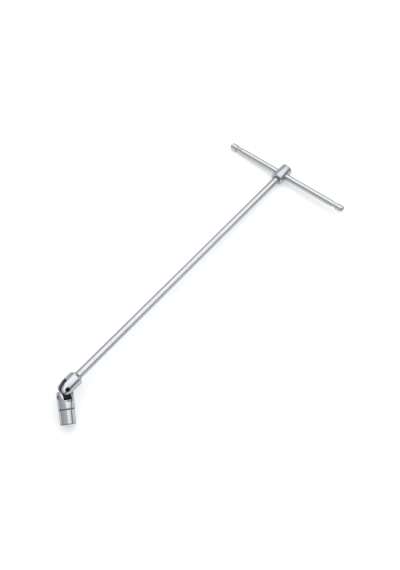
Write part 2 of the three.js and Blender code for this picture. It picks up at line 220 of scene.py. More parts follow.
def filleted(corners: list[Corner], steps: int = 5) -> np.ndarray:
    """Rounds the corners of an open profile.

    Each corner P gets the arc that touches both of its edges: with u and w the unit vectors along
    the edges and a the angle between them, the arc's centre is P + (u + w)/|u + w| r/sin(a/2), and it
    starts r/tan(a/2) from P. A point just beyond each end of the arc keeps flat faces flat.

    Args:
        corners: Place along the axis, radius, and fillet radius of each corner.
        steps: How many points each arc has.

    Returns:
        An array of (n, 2) points, place and radius.
    """
    table = np.array(corners, float)
    points, wanted = table[:, :2], table[:, 2]
    before, corner, after = points[:-2], points[1:-1], points[2:]
    back, on = before - corner, after - corner
    back_length, on_length = np.linalg.norm(back, axis=1), np.linalg.norm(on, axis=1)
    u, w = back / back_length[:, None], on / on_length[:, None]
    half = np.arccos(np.clip((u * w).sum(1), -1, 1)) / 2
    room = ROOM_SHARE * np.minimum(back_length, on_length)
    reach = np.minimum(wanted[1:-1] / np.tan(half), room)
    radius = reach * np.tan(half)
    middle = u + w
    middle /= np.linalg.norm(middle, axis=1)[:, None]
    centre = corner + middle * (radius / np.sin(half))[:, None]
    start, end = corner + u * reach[:, None], corner + w * reach[:, None]
    share = np.linspace(0, 1, steps)[None, :, None]
    spoke = (start - centre)[:, None] * (1 - share) + (end - centre)[:, None] * share
    spoke /= np.maximum(np.linalg.norm(spoke, axis=2), TINY)[..., None]
    bend = centre[:, None] + spoke * radius[:, None, None]
    lead = np.where(reach > 0, np.minimum(LEAD, LEAD_SHARE * room), 0)[:, None]
    lead_in, lead_out = start + u * lead, end + w * lead
    rounded = np.concatenate([lead_in[:, None], bend, lead_out[:, None]], axis=1)
    line = np.concatenate([points[:1], rounded.reshape(-1, 2), points[-1:]])
    kept = np.linalg.norm(np.diff(line, axis=0), axis=1) > SAME_POINT
    return line[np.concatenate([[True], kept])]


def spaced(profile: np.ndarray, longest: float) -> np.ndarray:
    """Adds points to a profile so that no stretch is longer than a given length.

    Args:
        profile: An array of (n, 2) points.
        longest: The longest stretch that may stay.

    Returns:
        The same line with more points on it.
    """
    lengths = np.linalg.norm(np.diff(profile, axis=0), axis=1)
    counts = np.maximum(1, np.ceil(lengths / longest)).astype(int)
    start = np.repeat(np.arange(len(counts)), counts)
    within = np.arange(counts.sum()) - np.repeat(np.cumsum(counts) - counts, counts)
    share = (within / counts[start])[:, None]
    inner = profile[start] * (1 - share) + profile[start + 1] * share
    return np.concatenate([inner, profile[-1:]])


def grid_faces(rows: int, columns: int, wrap_rows: bool = False) -> np.ndarray:
    """Gives the quads of a grid whose columns close into a ring.

    Args:
        rows: Rings in the grid.
        columns: Points in each ring.
        wrap_rows: Whether the last ring joins the first.

    Returns:
        An array of (n, 4) point numbers.
    """
    row = np.arange(rows if wrap_rows else rows - 1)[:, None]
    column = np.arange(columns)[None]
    nearer, further, after = row * columns, ((row + 1) % rows) * columns, (column + 1) % columns
    quads = np.broadcast_arrays(nearer + column, nearer + after, further + after, further + column)
    return np.stack(quads, -1).reshape(-1, 4)


def fan_faces(pole: int, ring: int, around: int) -> np.ndarray:
    """Gives the triangles between a ring and a point.

    Args:
        pole: The point's number.
        ring: Number of the ring's first point.
        around: Points in the ring.

    Returns:
        An array of (n, 3) point numbers.
    """
    column = np.arange(around)
    return np.stack([np.full(around, pole), ring + column, ring + (column + 1) % around], -1)


def revolved(profile: np.ndarray, axis: Axis = Axis.X, around: int = 128) -> Surface:
    """Turns a profile about an axis.

    A point at place p and radius r goes to (p, r cos t, r sin t) for each angle t, with the axis first.
    The profile starts and ends on the axis, where a fan of triangles closes the surface.

    Args:
        profile: An array of (n, 2) points, place and radius, towards the axis's positive end.
        axis: The axis that it is turned about.
        around: Points in each ring.

    Returns:
        The closed surface.
    """
    angle = full_turn(around)
    place, radius = profile[1:-1, 0, None], profile[1:-1, 1, None]
    rings = np.stack([place + 0 * angle, radius * np.cos(angle), radius * np.sin(angle)], -1)
    poles = np.array([[profile[0, 0], 0, 0], [profile[-1, 0], 0, 0]])
    points = np.concatenate([rings.reshape(-1, 3), poles])
    count = len(place)
    near = fan_faces(count * around, 0, around)
    far = fan_faces(count * around + 1, (count - 1) * around, around)
    faces = grid_faces(count, around).tolist() + near[:, [0, 2, 1]].tolist() + far.tolist()
    return Surface(points[:, axis.value], faces)


def turned(corners: list[Corner], axis: Axis = Axis.X, around: int = 128, longest: float = 4.0) -> Surface:
    """Makes a turned piece from its corners.

    Args:
        corners: Place, radius and fillet of each corner. The ends on the axis are added.
        axis: The axis that it is turned about.
        around: Points in each ring.
        longest: The longest stretch between two rings.

    Returns:
        The closed surface.
    """
    start, end = (corners[0][0], 0.0, 0.0), (corners[-1][0], 0.0, 0.0)
    return revolved(spaced(filleted([start, *corners, end]), longest), axis, around)


def mirrored(half: list[Corner]) -> list[Corner]:
    """Completes a profile from its positive half, which is given from its end inwards."""
    return [(-place, radius, fillet) for place, radius, fillet in half] + half[::-1]


def through_hole(
    radius: float, face: float, countersink: float, reach: float, fillet: float = 0.0
) -> list[Corner]:
    """Gives the corners of a hole through a piece, with a 45 degree countersink at each end.

    Args:
        radius: The hole's radius.
        face: How far the piece's faces lie from its middle.
        countersink: How deep the countersinks go.
        reach: How far the cutter goes from the middle.
        fillet: The fillet where a countersink meets the hole.

    Returns:
        The cutter's corners.
    """
    mouth = face - countersink
    return mirrored([(reach, radius + reach - mouth, 0.0), (mouth, radius, fillet)])


def lofted(outline: np.ndarray, levels: list[float], inward: list[float]) -> Surface:
    """Carries a flat outline up through levels, its edges moved inward at each by one distance.

    A corner between edges with outward normals m and n moves by -(m + n)/(1 + m.n) times the distance.

    Args:
        outline: An array of (n, 2) points, counter-clockwise.
        levels: The heights, rising.
        inward: The distance at each level.

    Returns:
        The closed surface, with flat ends.
    """
    count, top = len(outline), (len(levels) - 1) * len(outline)
    edge = np.roll(outline, -1, axis=0) - outline
    normal = np.stack([edge[:, 1], -edge[:, 0]], -1)
    normal /= np.linalg.norm(normal, axis=1)[:, None]
    before = np.roll(normal, 1, axis=0)
    reach = (before + normal) / (1 + (before * normal).sum(1))[:, None]
    flat = outline - reach * np.array(inward, float)[:, None, None]
    heights = np.array(levels, float)[:, None, None] + np.zeros((count, 1))
    points = np.concatenate([flat, heights], -1).reshape(-1, 3)
    ends = [list(range(count))[::-1], list(range(top, top + count))]
    return Surface(points, grid_faces(len(levels), count).tolist() + ends)


def rounded_plate(outline: np.ndarray, thickness: float, fillet: float, steps: int = 5) -> Surface:
    """Makes a plate about the middle plane, whose two rims are rounded.

    The rim is a quarter circle: at angle t it lies f (1 - cos t) inside and f (1 - sin t) below the face.

    Args:
        outline: An array of (n, 2) points, counter-clockwise.
        thickness: The plate's thickness.
        fillet: The rim's radius.
        steps: Points in each quarter circle.

    Returns:
        The closed surface.
    """
    angle = np.linspace(0, math.pi / 2, steps)
    inside = fillet * (1 - np.cos(angle))
    upper = thickness / 2 - fillet * (1 - np.sin(angle))
    return lofted(outline, [*-upper[::-1], *upper], [*inside[::-1], *inside])


def block(low: Point, high: Point, fillet: float, steps: int = 7) -> Surface:
    """Makes a block that runs along Y, with its edges along Y rounded.

    Args:
        low: Its lowest corner.
        high: Its highest corner.
        fillet: The radius of its four long edges.
        steps: Points in each quarter circle.

    Returns:
        The closed surface.
    """
    quarter = on_circle(fillet, np.linspace(0, math.pi / 2, steps))
    half = (np.array(high) - np.array(low)) / 2
    middle = (np.array(high) + np.array(low)) / 2
    inner = np.array([half[0], half[2]]) - fillet
    turns = [np.array([[c, -s], [s, c]]) for c, s in ((1, 0), (0, 1), (-1, 0), (0, -1))]
    signs = np.array([[1, 1], [-1, 1], [-1, -1], [1, -1]])
    outline = np.concatenate([quarter @ turn.T + inner * sign for turn, sign in zip(turns, signs)])
    solid = lofted(outline, [-half[1], half[1]], [0, 0])
    return solid.turned_by([[1, 0, 0], [0, 0, -1], [0, 1, 0]]).moved(tuple(middle))


def coiled(
    start: float, end: float, radius: float, wire: float, turns: float, around: int = 14, steps: int = 40
) -> Surface:
    """Winds a round wire about the X axis.

    The wire's middle is at (start + p t, R cos t, R sin t), and its skin lies a wire's radius from it,
    in the plane of X and the spoke.

    Args:
        start: Where the wire's middle starts along X.
        end: Where it ends.
        radius: Radius of the coil, to the wire's middle.
        wire: The wire's radius.
        turns: How many turns it has.
        around: Points around the wire.
        steps: Rings of points in each turn.

    Returns:
        The closed surface.
    """
    rings = int(turns * steps) + 1
    angle = np.linspace(0, turns * 2 * math.pi, rings)[:, None]
    skin = full_turn(around)[None]
    out = radius + wire * np.cos(skin)
    place = np.linspace(start, end, rings)[:, None] + wire * np.sin(skin)
    points = np.stack([place, out * np.cos(angle), out * np.sin(angle)], -1).reshape(-1, 3)
    near = list(range(around))
    far = list(range((rings - 1) * around, rings * around))[::-1]
    return Surface(points, grid_faces(rings, around)[:, ::-1].tolist() + [near, far])


def waved_ring(
    radii: tuple[float, float],
    thickness: float,
    wave: float,
    waves: int,
    rounding: float = 0.35,
    around: int = 144,
    skin: int = 24,
) -> Surface:
    """Makes a waved washer about the Z axis.

    Its section is a rectangle with rounded corners, lifted by the wave's height times cos(waves t).

    Args:
        radii: Inner and outer radius.
        thickness: Thickness of the strip.
        wave: Height of the wave on each side.
        waves: How many waves it has.
        rounding: Radius of the section's corners, as a share of half its thickness.
        around: Sections around the ring.
        skin: Points in each section.

    Returns:
        The closed surface.
    """
    inner, outer = radii
    half = thickness / 2
    corner = rounding * half
    box = np.array([(outer - inner) / 2 - corner, half - corner])
    section = on_circle(1.0, full_turn(skin))
    section = np.sign(np.round(section, 6)) * box + corner * section
    turn = full_turn(around)[:, None]
    radius = (inner + outer) / 2 + section[None, :, 0]
    lift = section[None, :, 1] + wave * np.cos(waves * turn)
    points = np.stack([radius * np.cos(turn), radius * np.sin(turn), lift], -1)
    return Surface(points.reshape(-1, 3), grid_faces(around, skin, wrap_rows=True)[:, ::-1].tolist())


# Solids in Blender


def with_bmesh(mesh: bpy.types.Mesh, work: Callable[[bmesh.types.BMesh], object]) -> None:
    """Runs one bmesh operation on a mesh.

    Args:
        mesh: The mesh to change.
        work: A function that gets the bmesh.
    """
    bm = bmesh.new()
    bm.from_mesh(mesh)
    work(bm)
    bm.to_mesh(mesh)
    bm.free()
    mesh.update()


def new_object(name: str, surface: Surface) -> bpy.types.Object:
    """Puts a surface into a mesh object with its faces turned outward.

    Args:
        name: The object's name.
        surface: Its shape, in the coordinates that the object keeps.

    Returns:
        The object, linked to the scene.
    """
    mesh = bpy.data.meshes.new(name)
    mesh.from_pydata(surface.points, [], surface.faces)
    mesh.update()
    obj = bpy.data.objects.new(name, mesh)
    bpy.context.scene.collection.objects.link(obj)
    with_bmesh(mesh, lambda bm: bmesh.ops.recalc_face_normals(bm, faces=bm.faces))
    return obj


def apply_modifier(obj: bpy.types.Object, kind: str, **settings: object) -> None:
    """Changes an object's mesh by one modifier.

    Args:
        obj: The object.
        kind: The modifier's type.
        settings: Its settings.
    """
    modifier = obj.modifiers.new(kind.lower(), kind)
    for label, value in settings.items():
        setattr(modifier, label, value)
    bpy.context.view_layer.update()
    graph = bpy.context.evaluated_depsgraph_get()
    done = bpy.data.meshes.new_from_object(obj.evaluated_get(graph))
    old = obj.data
    obj.modifiers.clear()
    obj.data = done
    done.name = obj.name
    bpy.data.meshes.remove(old)


def cut_by(obj: bpy.types.Object, surface: Surface, how: Cut = Cut.TAKE_AWAY) -> None:
    """Joins or cuts an object by another shape.

    Args:
        obj: The object that is changed.
        surface: The other shape.
        how: What the other shape does to it.
    """
    tool = new_object("cutter", surface)
    apply_modifier(obj, "BOOLEAN", operation=how.value, solver="EXACT", object=tool)
    spent = tool.data
    bpy.data.objects.remove(tool)
    bpy.data.meshes.remove(spent)


def break_edges(obj: bpy.types.Object, width: float, segments: int = 3, angle: float = 32.0) -> None:
    """Rounds a cut solid's sharp edges a little.

    Args:
        obj: The object, in millimetres.
        width: The width of the rounding.
        segments: Faces across it.
        angle: The sharpest edge that stays as it is, in degrees.
    """
    flat = {"angle_limit": FLAT_ANGLE * DEGREE, "use_dissolve_boundaries": False}
    with_bmesh(obj.data, lambda bm: bmesh.ops.remove_doubles(bm, verts=bm.verts, dist=MERGE_DISTANCE))
    with_bmesh(obj.data, lambda bm: bmesh.ops.dissolve_limit(bm, verts=bm.verts, edges=bm.edges, **flat))
    apply_modifier(
        obj,
        "BEVEL",
        width=width,
        segments=segments,
        limit_method="ANGLE",
        angle_limit=angle * DEGREE,
        use_clamp_overlap=False,
        miter_outer="MITER_ARC",
    )


def read(items: bpy.types.bpy_prop_collection, label: str, kind: type, width: int = 1) -> np.ndarray:
    """Reads one property of all the items of a mesh.

    Args:
        items: The mesh's points, loops or faces.
        label: The property.
        kind: The kind of number that it holds.
        width: How many numbers each item has.

    Returns:
        The numbers in one row.
    """
    values = np.empty(len(items) * width, kind)
    items.foreach_get(label, values)
    return values


def edge_measure(mesh: bpy.types.Mesh) -> np.ndarray:
    """Measures how sharply the surface turns at each point.

    It is 1 - |mean of the normals of the faces around the point|, scaled so that a rounded edge nears 1.

    Args:
        mesh: The finished mesh.

    Returns:
        One number from 0 to 1 for each point.
    """
    point_of = read(mesh.loops, "vertex_index", np.int32)
    sizes = read(mesh.polygons, "loop_total", np.int32)
    normals = read(mesh.polygons, "normal", np.float32, 3)
    total = np.zeros((len(mesh.vertices), 3))
    np.add.at(total, point_of, np.repeat(normals.reshape(-1, 3), sizes, axis=0))
    count = np.maximum(np.bincount(point_of, minlength=len(mesh.vertices)), 1)
    return np.clip((1 - np.linalg.norm(total, axis=1) / count) * EDGE_GAIN, 0, 1)


def store(mesh: bpy.types.Mesh, mark: Mark, values: np.ndarray) -> None:
    """Writes an attribute on a mesh's points.

    Args:
        mesh: The mesh.
        mark: The attribute.
        values: A number or three for each point.
    """
    kind, label = ("FLOAT_VECTOR", "vector") if values.ndim > 1 else ("FLOAT", "value")
    attribute = mesh.attributes.new(mark.value, kind, "POINT")
    attribute.data.foreach_set(label, values.astype(np.float32).ravel())


def settle(obj: bpy.types.Object, place: PieceFrame, stock: Stock) -> None:
    """Marks a finished piece for its material, smooths it and puts it where it belongs.

    The marks are the place along the turning axis and the distance from it, in millimetres; how sharply
    the surface turns; and how deep a point lies under the stock's round outside, as a share of it, or
    how near it is to a seam, where that is more.

    Args:
        obj: The piece, in its own millimetres.
        place: The frame that it goes to.
        stock: What it was turned from.
    """
    mesh = obj.data
    way = np.eye(3)[stock.axis.value.index(0)]
    for ring in [cut for seam in stock.seams for cut in seam.rings()]:
        plane = {"plane_co": tuple(way * ring), "plane_no": tuple(way)}
        with_bmesh(
            mesh, lambda bm: bmesh.ops.bisect_plane(bm, geom=[*bm.verts, *bm.edges, *bm.faces], **plane)
        )
    points = read(mesh.vertices, "co", np.float32, 3).reshape(-1, 3).astype(float)
    along = points @ way
    across = np.sqrt(np.maximum((points**2).sum(1) - along**2, 0))
    store(mesh, Mark.TURNED, np.stack([along, across, 0 * along], -1))
    store(mesh, Mark.EDGE, edge_measure(mesh))
    # The recess mark is the mask of the finish's painted shade, with oil and dust, in hollows and at
    # seams.
    depth = 1 - across / stock.envelope if stock.envelope else 0 * across
    shade_and_dust = np.stack([depth, *(seam.strength(along) for seam in stock.seams)])
    store(mesh, Mark.RECESS, np.clip(shade_and_dust.max(axis=0), 0, 1))
    mesh.vertices.foreach_set("co", place.to_row(points).astype(np.float32).ravel())
    mesh.shade_smooth()
    mesh.set_sharp_from_angle(angle=SMOOTH_ANGLE * DEGREE)
    mesh.update()


# Shader nodes and the effects that several finishes share, with scales in cells per metre

MIX_START, MIX_END, MIX_RESULT = 6, 7, 2  # the colour sockets of a Mix node
RING_SLANT = 1.7  # how much the distance from the axis counts beside the place on it
BAND_SCALE = 0.6
SMUDGE_SPAN = (0.46, 0.66)
PATCH_SCALE, PATCH_SPAN = 260.0, (0.5, 0.66)
MOTTLE_SCALE = 900.0
SHADE_DUST_SCALE, SHADE_DUST_SHAKE = 520.0, 0.22
SCRATCH_WIDTH, SCRATCH_STRETCH = 0.022, 0.04
SCRATCH_LAYERS = (  # the shift and the turn of each
    ((0.0, 0.11, 0.23), (0.3, 0.2, 1.1)),
    ((0.37, 0.11, 0.23), (1.2, 0.5, 0.1)),
    ((0.74, 0.11, 0.23), (0.6, 1.3, 0.7)),
)

Output = bpy.types.NodeSocket
Outputs = bpy.types.bpy_prop_collection


class Nodes:
    """Adds nodes to one shader tree."""

    def __init__(self, tree: bpy.types.NodeTree) -> None:
        """Keeps the tree."""
        self.tree = tree

    @classmethod
    def of_new(cls, owner: bpy.types.Material | bpy.types.World) -> "Nodes":
        """Empties the tree of a new material or world.

        Args:
            owner: The material or the world.

        Returns:
            Its tree, ready for nodes.
        """
        owner.use_nodes = True
        owner.node_tree.nodes.clear()
        return cls(owner.node_tree)

    def add(self, kind: str, inputs: dict[str | int, object] | None = None, **settings: object) -> Outputs:
        """Adds a node.

        Args:
            kind: The node's type, without the ShaderNode that its full name starts with.
            inputs: What goes into its inputs, each an output to link or a value to set.
            settings: Properties of the node to set.

        Returns:
            The node's outputs.
        """
        node = self.tree.nodes.new(f"ShaderNode{kind}")
        for label, value in settings.items():
            setattr(node, label, value)
        for label, value in (inputs or {}).items():
            if isinstance(value, Output):
                self.tree.links.new(value, node.inputs[label])
            else:
                node.inputs[label].default_value = value
        return node.outputs

    def calc(self, operation: str, *values: object, clamp: bool = False) -> Output:
        """Works out one value from others, each a number or an output."""
        return self.add("Math", dict(enumerate(values)), operation=operation, use_clamp=clamp)[0]

    def summed(self, start: object, *parts: tuple[Output, float]) -> Output:
        """Adds values up.

        Args:
            start: The number or output that the sum starts from.
            parts: Each value with its share.

        Returns:
            The start plus each value times its share.
        """
        for value, share in parts:
            start = self.calc("MULTIPLY_ADD", value, share, start)
        return start

    def span(self, value: Output, start: float, end: float, low: float = 0.0, high: float = 1.0) -> Output:
        """Carries a value smoothly from the span between start and end to the one between low and high."""
        inputs = {"Value": value, "From Min": start, "From Max": end, "To Min": low, "To Max": high}
        return self.add("MapRange", inputs, interpolation_type="SMOOTHSTEP")["Result"]

    def noise(self, place: Output, scale: object, detail: float = 2.0, distortion: float = 0.0) -> Output:
        """Adds noise from 0 to 1 over the places on a surface."""
        inputs = {"Vector": place, "Scale": scale, "Detail": detail, "Distortion": distortion}
        return self.add("TexNoise", inputs)["Fac"]

    def blend(self, share: Output, start: object, end: object) -> Output:
        """Mixes two colours.

        Args:
            share: The second colour's share.
            start: The first colour, an output or three numbers.
            end: The second colour, an output or three numbers.

        Returns:
            The mixed colour.
        """
        start, end = ((*value, 1.0) if isinstance(value, tuple) else value for value in (start, end))
        inputs = {"Factor": share, MIX_START: start, MIX_END: end}
        return self.add("Mix", inputs, data_type="RGBA", clamp_factor=True)[MIX_RESULT]

    def finish(self, inputs: dict[str, object]) -> None:
        """Ends a material in a Principled shader with some inputs."""
        self.add("OutputMaterial", {"Surface": self.add("BsdfPrincipled", inputs)["BSDF"]})


class Effect(Nodes):
    """A shader node group with named inputs and outputs, built once."""

    def __init__(self, name: str, inputs: dict[str, float | None], outputs: tuple[str, ...]) -> None:
        """Makes the group and its sockets.

        Args:
            name: The group's name.
            inputs: The default of each input, or None for a vector.
            outputs: The name of each output, all of them numbers.
        """
        super().__init__(bpy.data.node_groups.new(name, "ShaderNodeTree"))
        for label, value in inputs.items():
            kind = "NodeSocketVector" if value is None else "NodeSocketFloat"
            socket = self.tree.interface.new_socket(label, in_out="INPUT", socket_type=kind)
            if value is not None:
                socket.default_value = value
        for label in outputs:
            self.tree.interface.new_socket(label, in_out="OUTPUT", socket_type="NodeSocketFloat")
        self.given = self.tree.nodes.new("NodeGroupInput").outputs
        self.results = self.tree.nodes.new("NodeGroupOutput").inputs

    def put_out(self, label: str, value: Output) -> None:
        """Sends a value to one of the group's outputs."""
        self.tree.links.new(value, self.results[label])

    def used_in(self, nodes: Nodes, inputs: dict[str, object]) -> Outputs:
        """Places the group in a material with the material's own inputs, and gives the group's outputs."""
        return nodes.add("Group", inputs, node_tree=self.tree)


class TurningMarks(Effect):
    """The fine rings that a lathe and a polishing belt leave around a turned piece.

    The rings are noise read along one line: the place on the axis plus the distance from it.
    """

    def __init__(self) -> None:
        """Builds the group."""
        inputs = {"Turned": None, "Fineness": 9.0, "Unevenness": 0.5}
        super().__init__("turning_marks", inputs, ("Rings", "Bands"))
        parts = self.add("SeparateXYZ", {0: self.given["Turned"]})
        line = self.summed(parts["X"], (parts["Y"], RING_SLANT))
        fine = {"W": self.calc("MULTIPLY", line, self.given["Fineness"]), "Scale": 1.0, "Detail": 3.0}
        broad = {"W": line, "Scale": BAND_SCALE, "Detail": 2.0, "Roughness": self.given["Unevenness"]}
        for label, inputs in (("Rings", fine), ("Bands", broad)):
            self.put_out(label, self.add("TexNoise", inputs, noise_dimensions="1D")["Fac"])


class Handling(Effect):
    """The smudges and the fine scratches that handling leaves on metal, and a fine mottle.

    Scratches are the thin borders of long cells, laid in three directions and kept in patches.
    """

    def __init__(self) -> None:
        """Builds the group."""
        inputs = {"Place": None, "Smudge Size": 90.0, "Scratch Size": 420.0}
        super().__init__("handling", inputs, ("Smudges", "Scratches", "Mottle"))
        place = self.given["Place"]
        smudges = self.noise(place, self.given["Smudge Size"], detail=4.0, distortion=0.6)
        self.put_out("Smudges", self.span(smudges, *SMUDGE_SPAN))
        scratches = 0.0
        stretch = (SCRATCH_STRETCH, 1.0, 1.0)
        for shift, turn in SCRATCH_LAYERS:
            laid = {"Vector": place, "Location": shift, "Rotation": turn, "Scale": stretch}
            cells = {"Vector": self.add("Mapping", laid)["Vector"], "Scale": self.given["Scratch Size"]}
            border = self.add("TexVoronoi", cells, feature="DISTANCE_TO_EDGE")["Distance"]
            scratches = self.calc("MAXIMUM", scratches, self.span(border, 0.0, SCRATCH_WIDTH, 1.0, 0.0))
        patches = self.span(self.noise(place, PATCH_SCALE), *PATCH_SPAN)
        self.put_out("Scratches", self.calc("MULTIPLY", scratches, patches))
        self.put_out("Mottle", self.noise(place, MOTTLE_SCALE, detail=3.0))


class ShadeAndDust(Effect):
    """Painted shade, with some oil and dust, that darkens recesses and seams, broken up by noise."""

    def __init__(self) -> None:
        """Builds the group."""
        inputs = {"Recess": 0.0, "Place": None, "Start": 0.2, "Reach": 0.35}
        super().__init__("recess_shade_and_dust", inputs, ("ShadeAndDust",))
        speckle = self.noise(self.given["Place"], SHADE_DUST_SCALE, detail=5.0)
        shaken = self.summed(-SHADE_DUST_SHAKE / 2, (speckle, SHADE_DUST_SHAKE))
        depth = self.calc("ADD", self.given["Recess"], shaken)
        depth = self.calc("SUBTRACT", depth, self.given["Start"])
        self.put_out("ShadeAndDust", self.calc("DIVIDE", depth, self.given["Reach"], clamp=True))


class Effects:
    """The shared effects, each built once."""

    def __init__(self) -> None:
        """Builds the node groups."""
        self.turning = TurningMarks()
        self.handling = Handling()
        self.shade_dust = ShadeAndDust()


# Finishes


@dataclass(frozen=True)
class MetalFinish:
    """A metal surface with lathe rings, handling marks, and painted shade with oil and dust in its
    recesses and seams.
    """

    slot: str
    colour: Colour
    dark_colour: Colour
    shade_dust_colour: Colour
    edge_colour: Colour
    roughness: float
    roughness_spread: float
    ring_depth: float
    ring_fineness: float
    mottle_depth: float
    shade_dust_start: float
    shade_dust_share: float
    edge_share: float
    metallic: float = 1.0
    shade_dust_reach: float = 0.3
    shade_dust_roughness: float = 0.3
    shade_dust_dullness: float = 0.5
    grazing: float = 0.75
    milled_roughness: float = 0.0
    milled_span: tuple[float, float] = (0.05, 0.3)
    band_share: float = 0.7
    smudge_share: float = 0.3
    smudge_roughness: float = 0.8
    scratch_depth: float = 0.4
    relief: float = 0.02 * MM

    def build(self, effects: Effects) -> bpy.types.Material:
        """Makes the material.

        Args:
            effects: The shared node groups.

        Returns:
            The material.
        """
        material = bpy.data.materials.new(self.slot)
        nodes = Nodes.of_new(material)
        place = nodes.add("TexCoord")["Object"]
        marks = {mark: nodes.add("Attribute", attribute_name=mark.value) for mark in Mark}
        recess = marks[Mark.RECESS]["Fac"]
        lathe = {"Turned": marks[Mark.TURNED]["Vector"], "Fineness": self.ring_fineness}
        hollow = {"Recess": recess, "Place": place, "Start": self.shade_dust_start, "Reach": self.shade_dust_reach}
        turning = effects.turning.used_in(nodes, lathe)
        handling = effects.handling.used_in(nodes, {"Place": place})
        shade_dust = effects.shade_dust.used_in(nodes, hollow)
        rings, smudges, scratches = turning["Rings"], handling["Smudges"], handling["Scratches"]

        tone = nodes.summed(0.0, (smudges, self.smudge_share), (turning["Bands"], self.band_share))
        worn = nodes.calc("MULTIPLY", marks[Mark.EDGE]["Fac"], self.edge_share)
        # Painted shade with oil and dust: recesses and seams are blended towards a near-black colour and
        # made duller and rougher.
        shade_and_dust = nodes.calc("MULTIPLY", shade_dust["ShadeAndDust"], self.shade_dust_share)
        base = nodes.blend(tone, self.colour, self.dark_colour)
        base = nodes.blend(worn, base, self.edge_colour)
        base = nodes.blend(shade_and_dust, base, self.shade_dust_colour)

        spread = self.roughness_spread
        rough = nodes.summed(
            self.roughness - spread / 2,
            (rings, spread),
            (smudges, spread * self.smudge_roughness),
            (scratches, spread),
            (shade_and_dust, self.shade_dust_roughness),
            (nodes.span(recess, *self.milled_span, 0.0, self.milled_roughness), 1.0),
        )
        height = nodes.summed(
            0.0,
            (rings, self.ring_depth),
            (handling["Mottle"], self.mottle_depth),
            (scratches, -self.scratch_depth * self.ring_depth),
        )
        relief = {"Distance": self.relief, "Strength": 1.0, "Height": height}
        inputs = {
            "Base Color": base,
            "Roughness": rough,
            "Metallic": nodes.summed(self.metallic, (shade_and_dust, -self.shade_dust_dullness * self.metallic)),
            "Specular Tint": (self.grazing, self.grazing, self.grazing, 1.0),
            "Normal": nodes.add("Bump", relief)["Normal"],
        }
        nodes.finish(inputs)
        return material


SATIN_CHROME = MetalFinish(
    slot="satin_chrome",
    colour=(0.50, 0.518, 0.545),
    dark_colour=(0.45, 0.465, 0.488),
    shade_dust_colour=(0.05, 0.048, 0.045),
    edge_colour=(0.56, 0.57, 0.585),
    roughness=0.20,
    roughness_spread=0.10,
    ring_depth=0.10,
    ring_fineness=9.0,
    mottle_depth=0.05,
    shade_dust_start=0.38,
    shade_dust_share=0.85,
    edge_share=0.5,
    milled_roughness=0.28,
)
BRIGHT_BAR = MetalFinish(
    slot="bright_bar",
    colour=(0.53, 0.54, 0.552),
    dark_colour=(0.48, 0.49, 0.502),
    shade_dust_colour=(0.10, 0.095, 0.09),
    edge_colour=(0.58, 0.585, 0.59),
    roughness=0.19,
    roughness_spread=0.08,
    ring_depth=0.08,
    ring_fineness=7.0,
    mottle_depth=0.04,
    shade_dust_start=0.75,
    shade_dust_share=0.8,
    edge_share=0.4,
)
BLACK_OXIDE = MetalFinish(
    slot="black_oxide",
    colour=(0.020, 0.021, 0.024),
    dark_colour=(0.009, 0.009, 0.011),
    shade_dust_colour=(0.006, 0.006, 0.006),
    edge_colour=(0.15, 0.155, 0.165),
    roughness=0.34,
    roughness_spread=0.14,
    ring_depth=0.35,
    ring_fineness=5.0,
    mottle_depth=0.5,
    shade_dust_start=0.5,
    shade_dust_share=0.5,
    edge_share=0.45,
    metallic=0.9,
    shade_dust_reach=0.5,
)
SPRING_STEEL = MetalFinish(
    slot="spring_steel",
    colour=(0.27, 0.29, 0.31),
    dark_colour=(0.20, 0.215, 0.23),
    shade_dust_colour=(0.05, 0.045, 0.04),
    edge_colour=(0.55, 0.56, 0.57),
    roughness=0.30,
    roughness_spread=0.12,
    ring_depth=0.2,
    ring_fineness=8.0,
    mottle_depth=0.2,
    shade_dust_start=0.5,
    shade_dust_share=0.4,
    edge_share=0.3,
    shade_dust_reach=0.5,
)
FINISHES = (SATIN_CHROME, BRIGHT_BAR, BLACK_OXIDE, SPRING_STEEL)


class Workshop:
    """Holds the tool's frames and the finishes, and hands over each piece."""

    def __init__(self, frames: ToolFrames) -> None:
        """Builds the finishes.

        Args:
            frames: The tool's frames.
        """
        effects = Effects()
        self.frames = frames
        self.materials = {finish.slot: finish.build(effects) for finish in FINISHES}

    def hand_over(
        self,
        obj: bpy.types.Object,
        finish: MetalFinish,
        body: str,
        node: str,
        place: PieceFrame,
        stock: Stock,
    ) -> None:
        """Puts one piece in its place, gives it its finish and its body, and hides the node that it stands
        for.

        Args:
            obj: The piece, in its own millimetres.
            finish: Its finish.
            body: The body that it rides on.
            node: The node that it stands for.
            place: The frame that it goes to.
            stock: What it was turned from.
        """
        settle(obj, place, stock)
        self.dress(obj, finish.slot)
        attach(obj, body)
        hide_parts(node)
        LOG.info("%s: %d faces on %s", obj.name, len(obj.data.polygons), body)

    def dress(self, obj: bpy.types.Object, slot: str) -> None:
        """Gives an object, a piece or the solid hidden under it, the material of a slot."""
        obj.data.materials.clear()
        obj.data.materials.append(self.materials[slot])


# Sub-assemblies


@dataclass
class SubAssembly:
    """Pieces that are made together, in the shop that hands them over."""

    shop: Workshop


